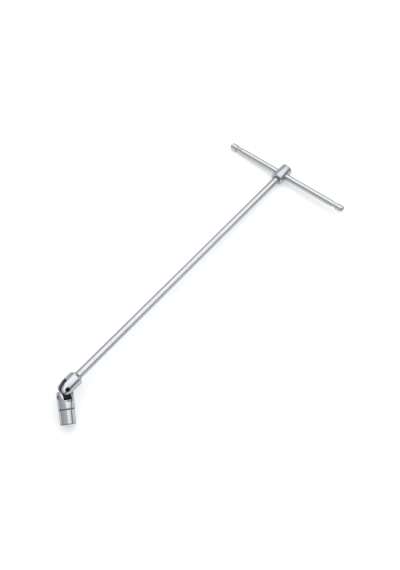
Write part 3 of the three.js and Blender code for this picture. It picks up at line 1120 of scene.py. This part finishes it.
@dataclass
class SlidingBar(SubAssembly):
    """The bar that slides in the head, with a necked knob turned at each end."""

    radius: float = 4.0
    length: float = 173.5
    knob_radius: float = 4.2
    knob_length: float = 9.8
    knob_chamfer: float = 1.8
    neck_radius: float = 3.2
    neck_length: float = 2.4
    cone_length: float = 6.6
    seam_width: float = 0.5
    slid_by: float = 5.5

    def build(self) -> None:
        """Makes the bar."""
        half = self.length / 2
        shoulder = half - self.knob_length
        neck_end = shoulder - self.neck_length
        end = [
            (half, self.knob_radius - self.knob_chamfer, 0.6),
            (half - self.knob_chamfer, self.knob_radius, 1.2),
            (shoulder, self.knob_radius, 0.25),
            (shoulder, self.neck_radius, 0.3),
            (neck_end, self.neck_radius, 0.8),
            (neck_end - self.cone_length, self.radius, 2.0),
        ]
        # Darkened rings at the knobs' shoulders: painted shade in the creases, with some oil and dust.
        seams = tuple(Seam(place, self.seam_width) for place in (-shoulder, shoulder))
        bar = new_object("sliding_bar_piece", turned(mirrored(end), Axis.Y))
        place, stock = self.shop.frames.bar, Stock(axis=Axis.Y, seams=seams)
        self.shop.hand_over(bar, BRIGHT_BAR, "bar", "sliding_bar", place, stock)


@dataclass
class HandleHead(SubAssembly):
    """The head that the bar slides through, with the detent inside it."""

    shaft_radius: float
    bar_radius: float
    radius: float = 8.075
    length: float = 23.3
    chamfer: float = 1.1
    edge_width: float = 0.12
    hole_radius: float = 4.12
    hole_countersink: float = 0.5
    web: float = 1.1
    ball_radius: float = 1.75
    ball_gap: float = 0.03
    ball_steps: int = 32
    bore_radius: float = 1.85
    wire_radius: float = 0.2
    curls: int = 3
    plug_radius: float = 2.5
    plug_thickness: float = 1.4
    plug_recess: float = 0.15
    dimple_radius: float = 0.8
    dimple_floor: float = 0.12
    dimple_depth: float = 0.4

    @property
    def end(self) -> float:
        """Half the head's length."""
        return self.length / 2

    @property
    def plug_inner(self) -> float:
        """How far the plug's inner face lies from the head's middle."""
        return self.end - self.plug_recess - self.plug_thickness

    def build(self) -> None:
        """Makes the head, its plug, ball and spring."""
        self.build_head()
        self.build_plug()
        self.build_detent()

    def build_head(self) -> None:
        """Makes the head: a chamfered cylinder with the bar's hole across it and the bores along it."""
        rim = [(self.end, self.radius - self.chamfer, 0.3), (self.end - self.chamfer, self.radius, 0.35)]
        head = new_object("handle_head_piece", turned(mirrored(rim), longest=0.9, around=160))
        reach = self.radius + OVERRUN
        hole = through_hole(self.hole_radius, self.radius, self.hole_countersink, reach, fillet=0.3)
        cut_by(head, turned(hole, Axis.Y, around=120))
        outside = self.end + OVERRUN
        for start, end, radius in (
            (self.hole_radius + self.web, outside, self.shaft_radius + PRESS_GAP),
            (-outside, 0.0, self.bore_radius),
            (-outside, -self.plug_inner, self.plug_radius + PRESS_GAP),
        ):
            cut_by(head, turned([(start, radius, 0.0), (end, radius, 0.0)], around=96))
        break_edges(head, self.edge_width, segments=2)
        place, stock = self.shop.frames.wrench, Stock(self.radius)
        self.shop.hand_over(head, SATIN_CHROME, "handle", "handle_head", place, stock)

    def build_plug(self) -> None:
        """Makes the plug, with a punched dimple in its outer face."""
        outer = -self.plug_inner - self.plug_thickness
        corners = [
            (outer + self.dimple_depth, self.dimple_floor, 0.1),
            (outer, self.dimple_radius, 0.15),
            (outer, self.plug_radius, 0.12),
            (-self.plug_inner - PRESS_GAP, self.plug_radius, 0.1),
        ]
        plug = new_object("detent_plug_piece", turned(corners, around=96, longest=0.5))
        place, stock = self.shop.frames.wrench, Stock(self.plug_radius)
        self.shop.hand_over(plug, SATIN_CHROME, "handle", "detent_plug", place, stock)

    def build_detent(self) -> None:
        """Makes the ball that bears on the bar and the spring behind it."""
        place, stock = self.shop.frames.wrench, Stock(self.ball_radius)
        centre = self.bar_radius + self.ball_gap + self.ball_radius
        turn = np.linspace(0, math.pi, self.ball_steps + 1)
        circle = np.stack([-centre - self.ball_radius * np.cos(turn), self.ball_radius * np.sin(turn)], -1)
        ball = new_object("detent_ball_piece", revolved(circle, around=64))
        self.shop.hand_over(ball, SPRING_STEEL, "handle", "detent_ball", place, stock)
        coil = self.ball_radius - self.wire_radius
        seat = centre + math.sqrt(self.ball_radius**2 - (coil - self.wire_radius) ** 2)
        start = -self.plug_inner + self.wire_radius + self.ball_gap
        end = -seat - self.wire_radius - self.ball_gap
        spring = new_object("detent_spring_piece", coiled(start, end, coil, self.wire_radius, self.curls))
        self.shop.hand_over(spring, SPRING_STEEL, "handle", "detent_spring", place, stock)


@dataclass
class Shaft(SubAssembly):
    """The long shaft between the head and the yoke, with a seam where it leaves each of them."""

    radius: float = 4.38
    start: float = 5.22
    end: float = 366.2
    chamfer: float = 0.5
    # Darkened rings where the shaft enters the head and the yoke: dark joint lines deepened with painted
    # shade.
    seams: tuple[Seam, ...] = (Seam(11.65, 0.7), Seam(359.4, 0.35, level=0.5))

    def build(self) -> None:
        """Makes the shaft."""
        corners = [
            (self.start, self.radius - self.chamfer, 0.1),
            (self.start + self.chamfer, self.radius, 0.2),
            (self.end - self.chamfer, self.radius, 0.2),
            (self.end, self.radius - self.chamfer, 0.1),
        ]
        shaft = new_object("shaft_piece", turned(corners))
        place, stock = self.shop.frames.wrench, Stock(seams=self.seams)
        self.shop.hand_over(shaft, SATIN_CHROME, "handle", "shaft", place, stock)


@dataclass(frozen=True)
class Fork:
    """What both forks of the joint share: a slot, bevelled ears and a pin's hole."""

    radius: float
    slot_depth: float
    ear_radius: float
    slot_width: float = 9.0
    hole_radius: float = 2.22
    countersink: float = 0.75
    bevel_angle: float = 10.0
    flank_share: float = 0.92
    tip_steps: int = 48
    floor_fillet: float = 0.5

    def ear_solid(self, back: float) -> Surface:
        """Makes what the ears keep: full width at the slot's floor, leaning flanks and a round tip.

        The flank is the line from the floor's corner that touches the tip's circle, so the tip's arc
        ends at the angle of that corner less acos(ear radius / distance of the corner).

        Args:
            back: How far the outline runs back from the pin.

        Returns:
            The closed surface, which shrinks away from the slot on both sides.
        """
        corner = np.array([-self.slot_depth, self.radius * self.flank_share])
        touch = math.atan2(corner[1], corner[0]) - math.acos(self.ear_radius / np.linalg.norm(corner))
        wide = self.radius + OVERRUN
        flank = -self.slot_depth - (wide - corner[1]) * math.tan(touch)
        tip = on_circle(self.ear_radius, np.linspace(-touch, touch, self.tip_steps + 1))
        outline = np.concatenate([[[-back, -wide], [flank, -wide]], tip, [[flank, wide], [-back, wide]]])
        half = self.slot_width / 2
        shrink = (wide - half) * math.tan(self.bevel_angle * DEGREE)
        return lofted(outline, [-wide, -half, half, wide], [shrink, 0, 0, shrink])

    def shape(self, name: str, corners: list[Corner]) -> bpy.types.Object:
        """Turns a body and cuts it into a fork.

        Args:
            name: The object's name.
            corners: The body's corners up to the fork, along which its last radius is carried on.

        Returns:
            The object, in its own millimetres.
        """
        reach, half = self.radius + OVERRUN, self.slot_width / 2
        tip = (self.ear_radius + OVERRUN, self.radius, 0.0)
        fork = new_object(name, turned([*corners, tip], longest=0.9, around=144))
        cut_by(fork, self.ear_solid(OVERRUN - corners[0][0]), Cut.KEEP_COMMON)
        low, high = (-self.slot_depth, -reach, -half), (self.ear_radius + 3 * reach, reach, half)
        cut_by(fork, block(low, high, self.floor_fillet))
        hole = through_hole(self.hole_radius, self.radius, self.countersink, reach)
        cut_by(fork, turned(hole, Axis.Z, around=72))
        return fork


@dataclass
class Yoke(SubAssembly):
    """The coned fork that is pressed on the shaft's end."""

    shaft_radius: float
    nose_radius: float = 4.9
    nose_length: float = 0.4
    cone_length: float = 3.0
    body_length: float = 9.4
    bore_web: float = 5.6
    edge_width: float = 0.32
    fork: Fork = Fork(radius=8.2, slot_depth=6.4, ear_radius=5.6)

    def build(self) -> None:
        """Makes the yoke."""
        back = self.fork.slot_depth + self.body_length
        nose = -back - self.cone_length
        corners = [
            (nose, self.nose_radius - self.nose_length, 0.15),
            (nose + self.nose_length, self.nose_radius, 0.2),
            (-back, self.fork.radius, 0.7),
        ]
        yoke = self.fork.shape("yoke_piece", corners)
        bore = self.shaft_radius + PRESS_GAP
        bore_end = -self.fork.slot_depth - self.bore_web
        cut_by(yoke, turned([(nose - OVERRUN, bore, 0.0), (bore_end, bore, 0.0)], around=96))
        break_edges(yoke, self.edge_width)
        place, stock = self.shop.frames.yoke, Stock(self.fork.radius)
        self.shop.hand_over(yoke, SATIN_CHROME, "handle", "yoke", place, stock)


@dataclass
class HexSocket(SubAssembly):
    """The lower fork and the hexagon socket in one piece."""

    fork_length: float = 12.6
    radius: float = 8.1
    length: float = 28.2
    chamfer: float = 0.8
    step_chamfer: float = 0.35
    across_flats: float = 11.1
    hex_depth: float = 13.0
    hex_sides: int = 6
    bore_radius: float = 5.2
    bore_depth: float = 15.5
    lead_in: float = 0.9
    edge_width: float = 0.28
    step_shadow_width: float = 0.75
    step_shadow_shift: float = 0.2
    rim_shadow_width: float = 0.4
    rim_shadow_share: float = 0.75
    fork: Fork = Fork(radius=8.65, slot_depth=5.0, ear_radius=6.0)

    def build(self) -> None:
        """Makes the socket: the fork and barrel, then the hexagon, the bore behind it and the lead-in."""
        corners = [
            (-self.length, self.radius - self.chamfer, 0.3),
            (-self.length + self.chamfer, self.radius, 0.5),
            (-self.fork_length, self.radius, 0.12),
            (-self.fork_length + self.step_chamfer, self.fork.radius, 0.2),
        ]
        socket = self.fork.shape("socket_piece", corners)
        outside = -self.length - OVERRUN
        flat = self.across_flats / 2
        half_side = math.pi / self.hex_sides
        hexagon = on_circle(flat / math.cos(half_side), full_turn(self.hex_sides) + half_side)
        prism = lofted(hexagon, [outside, -self.length + self.hex_depth], [0, 0])
        cut_by(socket, prism.turned_by([[0, 0, 1], [1, 0, 0], [0, 1, 0]]))
        bore = [(outside, self.bore_radius, 0.0), (-self.length + self.bore_depth, self.bore_radius, 0.5)]
        cut_by(socket, turned(bore, around=96))
        mouth = flat + self.lead_in
        cone = np.array([[outside, 0], [outside, mouth + OVERRUN], [-self.length + mouth, 0]])
        cut_by(socket, revolved(cone, around=96))
        break_edges(socket, self.edge_width)
        # Painted shadow lines: a dark ring just below the step to the fork, and one on the mouth's
        # chamfer.
        step = Seam(-self.fork_length - self.step_shadow_shift, self.step_shadow_width)
        rim = Seam(-self.length + self.rim_shadow_share * self.chamfer, self.rim_shadow_width)
        place, stock = self.shop.frames.fork, Stock(self.fork.radius, seams=(step, rim))
        self.shop.hand_over(socket, SATIN_CHROME, "socket_end", "socket", place, stock)


@dataclass
class JointLink(SubAssembly):
    """The centre link, its two pins and the four wave washers."""

    upper: Fork
    lower: Fork
    pin_spacing: float = 8.3
    pin_radius: float = 2.2
    pin_chamfer: float = 0.4
    pin_recess: float = 1.5
    pin_gap: float = 0.05
    dimple_radius: float = 0.7
    dimple_floor: float = 0.1
    dimple_depth: float = 0.35
    thickness: float = 7.4
    width: float = 7.4
    end_radius: float = 3.9
    end_steps: int = 40
    plate_fillet: float = 0.5
    hole_countersink: float = 0.3
    washer_radius: float = 3.6
    washer_thickness: float = 0.3
    washer_wave: float = 0.2
    washer_waves: int = 3

    @property
    def bore(self) -> float:
        """Radius of the holes round the pins."""
        return self.pin_radius + self.pin_gap

    def build(self) -> None:
        """Makes the link, the pins and the washers."""
        self.build_link()
        self.build_end("upper", self.upper, "handle", self.shop.frames.yoke)
        self.build_end("lower", self.lower, "socket_end", self.shop.frames.fork)

    def build_link(self) -> None:
        """Makes the link: two round-ended plates at right angles, each bored for its pin."""
        half, middle = self.width / 2, self.pin_spacing / 2
        shoulder = math.asin(half / self.end_radius)
        angle = np.linspace(math.pi - shoulder, math.pi + shoulder, self.end_steps + 1)
        end = on_circle(self.end_radius, angle)
        outline = np.concatenate([[[middle, -half], [middle, half]], end])
        plate = rounded_plate(outline, self.thickness, self.plate_fillet)
        link = new_object("centre_link_piece", plate)
        lower_pin = (self.pin_spacing, 0, 0)
        cut_by(link, plate.turned_by([[-1, 0, 0], [0, 0, 1], [0, 1, 0]]).moved(lower_pin), Cut.ADD)
        reach = self.end_radius + OVERRUN
        hole = through_hole(self.bore, self.thickness / 2, self.hole_countersink, reach)
        cut_by(link, turned(hole, Axis.Z, around=72))
        cut_by(link, turned(hole, Axis.Y, around=72).moved(lower_pin))
        place, stock = self.shop.frames.link, Stock(self.end_radius)
        self.shop.hand_over(link, BLACK_OXIDE, "link", "centre_link", place, stock)

    def build_end(self, level: str, fork: Fork, body: str, place: PieceFrame) -> None:
        """Makes a pin with a shallow dimple in each end, and the wave washer on each side of the link.

        Args:
            level: Which end of the link it is, for the pieces' names.
            fork: The fork that holds the pin.
            body: The body that they ride on.
            place: The frame whose Z is the pin's axis.
        """
        half = fork.radius - self.pin_recess
        end = [
            (half - self.dimple_depth, self.dimple_floor, 0.08),
            (half, self.dimple_radius, 0.15),
            (half, self.pin_radius - self.pin_chamfer, 0.12),
            (half - self.pin_chamfer, self.pin_radius, 0.15),
        ]
        pin = new_object(f"{level}_pin_piece", turned(mirrored(end), Axis.Z, around=72, longest=2.0))
        stock = Stock(self.pin_radius, Axis.Z)
        self.shop.hand_over(pin, BLACK_OXIDE, body, f"{level}_pin", place, stock)
        radii = (self.bore, self.washer_radius)
        ring = waved_ring(radii, self.washer_thickness, self.washer_wave, self.washer_waves)
        middle = (fork.slot_width / 2 + self.thickness / 2) / 2
        stock = Stock(self.washer_radius, Axis.Z)
        for side, sign in (("front", 1), ("back", -1)):
            name = f"{level}_washer_{side}"
            washer = new_object(f"{name}_piece", ring.moved((0, 0, sign * middle)))
            self.shop.hand_over(washer, SPRING_STEEL, body, name, place, stock)


# The room


@dataclass
class Room:
    """The pale table, the soft studio light and the camera."""

    floor_radii: tuple[float, ...] = (0.3, 1.0, 4.0)
    floor_around: int = 96
    floor_colour: Colour = (0.72, 0.72, 0.72)
    floor_unevenness: float = 0.005
    floor_noise: float = 7.0
    floor_roughness: float = 0.9
    floor_specular: float = 0.1
    floor_lift: float = 0.38
    light_from: Point = (-0.13, -0.05, 0.94)
    light_colour: Colour = (0.97, 0.985, 1.0)
    light_strength: float = 0.82
    light_falloff: float = 0.25
    light_least: float = 0.03
    wall_away: Point = (0.0, -0.8, 1.0)
    wall_reach: float = 0.53
    wall_level: float = 0.5
    lamp_from: Point = (-0.32, 0.15, 0.95)
    lamp_colour: Colour = (1.0, 0.995, 0.985)
    lamp_distance: float = 1.01
    lamp_size: tuple[float, float] = (1.3, 2.35)
    lamp_radiance: float = 0.8
    camera_place: Point = (466.0, 265.0, 575.5)
    camera_right: Point = (-0.642, 0.767, -0.015)
    camera_back: Point = (0.400, 0.351, 0.847)
    camera_clip: tuple[float, float] = (0.01, 50.0)
    focal_pixels: float = 600.0
    sensor: float = 36.0

    def build(self, frames: ToolFrames) -> None:
        """Makes the room.

        Args:
            frames: The tool's frames, one of which the camera stands in.
        """
        self.build_floor()
        self.build_world()
        self.build_lamp()
        self.build_camera(frames.wrench)
        bpy.context.scene.view_settings.view_transform = "Standard"

    def build_floor(self) -> None:
        """Makes a round table top, with rings whose radius grows outward."""
        around, angle = self.floor_around, full_turn(self.floor_around)
        radii = np.array(self.floor_radii)[:, None]
        rings = np.stack([radii * np.cos(angle), radii * np.sin(angle), 0 * radii * angle], -1)
        points = np.concatenate([rings.reshape(-1, 3), [[0, 0, 0]]])
        rows, middle = grid_faces(len(radii), around)[:, ::-1], fan_faces(len(points) - 1, 0, around)
        floor = new_object("table_top", Surface(points, rows.tolist() + middle.tolist()))
        floor.data.materials.append(self.floor_material())

    def floor_material(self) -> bpy.types.Material:
        """Makes the table's pale colour, lifted towards white where the camera or a gloss sees it.

        Returns:
            The material.
        """
        material = bpy.data.materials.new("pale_table")
        nodes = Nodes.of_new(material)
        place = nodes.add("TexCoord")["Object"]
        low = tuple((1 - self.floor_unevenness) * channel for channel in self.floor_colour)
        rays = nodes.add("LightPath")
        seen = nodes.calc("MAXIMUM", rays["Is Camera Ray"], rays["Is Glossy Ray"])
        seen = nodes.calc("MAXIMUM", seen, rays["Is Transmission Ray"])
        inputs = {
            "Base Color": nodes.blend(nodes.noise(place, self.floor_noise), low, self.floor_colour),
            "Roughness": self.floor_roughness,
            "Specular IOR Level": self.floor_specular,
            "Emission Color": (1, 1, 1, 1),
            "Emission Strength": nodes.calc("MULTIPLY", seen, self.floor_lift),
        }
        nodes.finish(inputs)
        return material

    def build_world(self) -> None:
        """Makes the light from all round: a pale ceiling that falls off towards dark walls.

        With d the cosine between a direction and the middle of the ceiling, never less than a small
        least value, the strength is the ceiling's strength times d to the power of the falloff. It is
        darker on one side, where the direction's product with the way from the dark wall is small.
        """
        world = bpy.data.worlds.new("studio")
        bpy.context.scene.world = world
        nodes = Nodes.of_new(world)
        direction = nodes.add("TexCoord")["Generated"]
        facing, clear = (
            nodes.add("VectorMath", {0: direction, 1: way}, operation="DOT_PRODUCT")["Value"]
            for way in (unit(np.array(self.light_from)), self.wall_away)
        )
        fall = nodes.calc("MAXIMUM", facing, self.light_least)
        fall = nodes.calc("POWER", fall, self.light_falloff)
        wall = nodes.span(clear, 0.0, self.wall_reach, self.wall_level, 1.0)
        level = nodes.calc("MULTIPLY", nodes.calc("MULTIPLY", fall, self.light_strength), wall)
        ceiling = nodes.add("Background", {"Color": (*self.light_colour, 1.0), "Strength": level})
        nodes.add("OutputWorld", {"Surface": ceiling["Background"]})

    def build_lamp(self) -> None:
        """Hangs one large soft lamp over the table, a little to one side of the middle.

        Its power is its radiance times four times its area.
        """
        lamp = bpy.data.lights.new("soft_box", "AREA")
        lamp.shape = "RECTANGLE"
        lamp.size, lamp.size_y = self.lamp_size
        lamp.energy = self.lamp_radiance * 4 * lamp.size * lamp.size_y
        lamp.color = self.lamp_colour
        back = unit(np.array(self.lamp_from))
        place_looking("soft_box", lamp, self.lamp_distance * back, unit(np.cross([0, 1, 0], back)), back)

    def build_camera(self, wrench: PieceFrame) -> None:
        """Puts the camera where the photograph was taken from.

        Args:
            wrench: The frame that the camera's place and directions are given in.
        """
        data = bpy.data.cameras.new("camera")
        data.sensor_width = self.sensor
        data.lens = self.sensor * self.focal_pixels / max(PHOTO_SIZE)
        data.clip_start, data.clip_end = self.camera_clip
        back = unit(wrench.axes @ np.array(self.camera_back))
        right = wrench.axes @ np.array(self.camera_right)
        right = unit(right - back * (right @ back))
        place = wrench.to_row(np.array([self.camera_place]))[0]
        bpy.context.scene.camera = place_looking("camera", data, place, right, back)


def place_looking(
    name: str, data: bpy.types.ID, place: np.ndarray, right: np.ndarray, back: np.ndarray
) -> bpy.types.Object:
    """Puts a lamp or a camera into the scene.

    Args:
        name: Its name.
        data: The lamp or the camera.
        place: Where it is, in metres.
        right: The direction to its right.
        back: The direction away from what it looks at.

    Returns:
        Its object.
    """
    columns = np.eye(4)
    columns[:3] = np.column_stack([right, np.cross(back, right), back, place])
    obj = bpy.data.objects.new(name, data)
    obj.matrix_world = Matrix(columns.tolist())
    bpy.context.scene.collection.objects.link(obj)
    return obj


def main() -> None:
    """Builds every piece and the room around it."""
    logging.basicConfig(level=logging.INFO, format="%(name)s: %(message)s")
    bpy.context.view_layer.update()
    frames = ToolFrames.from_record(frame["record"], SlidingBar.slid_by)
    shop = Workshop(frames)
    bar, shaft = SlidingBar(shop), Shaft(shop)
    yoke, socket = Yoke(shop, shaft.radius), HexSocket(shop)
    head = HandleHead(shop, shaft.radius, bar.radius)
    link = JointLink(shop, yoke.fork, socket.fork)
    for assembly in (bar, head, shaft, yoke, socket, link):
        assembly.build()
    for part in frame["record"]["subparts"]:
        shop.dress(frame["nodes"][part["node"]], part["material_slot"])
    Room().build(frames)


if __name__ == "__main__":
    main()
